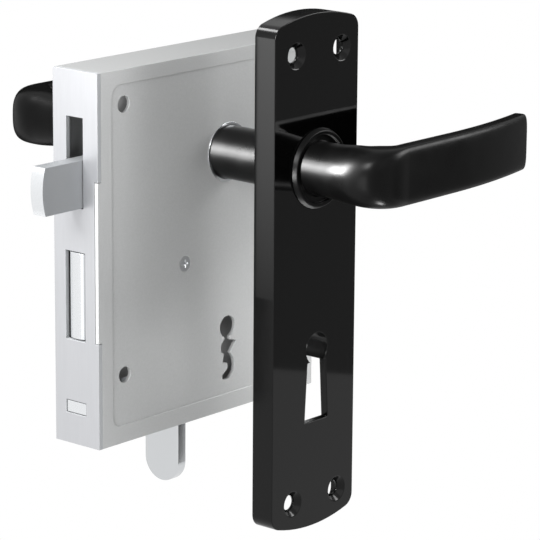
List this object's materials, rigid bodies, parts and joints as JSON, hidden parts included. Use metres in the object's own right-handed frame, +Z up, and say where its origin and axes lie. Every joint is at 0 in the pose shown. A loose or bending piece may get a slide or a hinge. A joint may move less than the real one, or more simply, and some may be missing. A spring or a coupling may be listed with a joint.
{
  "type": "rim door lock with lever handles",
  "caption": "Box lock for a door's face, with a lifting latch, a deadbolt, a thumb tab below, lever handles on a square spindle and a long plate with a keyhole.",
  "frame": {"origin": "Centre of the rectangle of the four case screw holes, in the plane of the door's face.", "axes": "+Z is up, +X runs from the forend to the case's rear, and +Y runs from the door into the room."},
  "size_m": [0.1937, 0.2027, 0.2062],
  "materials": {
    "case_steel": "satin grey lacquer on pressed sheet",
    "bright_zinc": "satin zinc plating",
    "plain_steel": "plain turned and stamped steel",
    "spring_steel": "oiled spring steel",
    "black_gloss": "smooth gloss black coat on cast metal",
    "brass": "stamped brass sheet"
  },
  "bodies": {
    "case": {"case_shell": "case_steel", "cover_plate": "case_steel", "forend_plate": "bright_zinc", "cover_screw": "bright_zinc", "cover_pillar": "plain_steel", "outer_bush": "bright_zinc", "inner_bush": "bright_zinc", "door_plate": "black_gloss", "plate_collar": "black_gloss", "latch_pivot": "plain_steel", "latch_stop": "plain_steel", "latch_spring": "spring_steel", "bolt_guides": "plain_steel", "tumbler_pivot": "plain_steel", "spring_pin": "plain_steel", "night_guide": "plain_steel", "detent_spring": "spring_steel"},
    "handle": {"spindle": "plain_steel", "outer_lever": "black_gloss", "inner_lever": "black_gloss", "grub_screws": "plain_steel", "follower": "plain_steel", "neck_clip": "spring_steel"},
    "latch": {"latch_bar": "bright_zinc"},
    "deadbolt": {"deadbolt": "bright_zinc"},
    "tumbler": {"tumbler": "brass", "tumbler_spring": "spring_steel"},
    "night_bolt": {"night_bolt": "bright_zinc", "thumb_tab": "bright_zinc"}
  },
  "joints": [
    {"name": "handle_turn", "type": "hinge", "parent": "case", "child": "handle", "pos_m": [0.01125, 0, 0.026], "axis": [0, 1, 0], "range_deg": [0, 30], "stiffness_Nm_per_rad": 0.6, "springref_deg": -57.3},
    {"name": "latch_lift", "type": "hinge", "parent": "case", "child": "latch", "pos_m": [0.05425, 0, 0.039], "axis": [0, 1, 0], "range_deg": [0, 7.5], "deforming": ["latch_spring"]},
    {"name": "deadbolt_throw", "type": "slide", "parent": "case", "child": "deadbolt", "axis": [-1, 0, 0], "range_m": [0, 0.02]},
    {"name": "tumbler_drop", "type": "hinge", "parent": "case", "child": "tumbler", "pos_m": [0.04425, 0, -0.014], "axis": [0, 1, 0], "range_deg": [-4, 0], "deforming": ["tumbler_spring"]},
    {"name": "night_bolt_slide", "type": "slide", "parent": "case", "child": "night_bolt", "axis": [-1, 0, 0], "range_m": [0, 0.012], "deforming": ["detent_spring"]}
  ],
  "couplings": [
    {"joint": "latch_lift", "follows": "handle_turn", "ratio": 0.25}
  ]
}
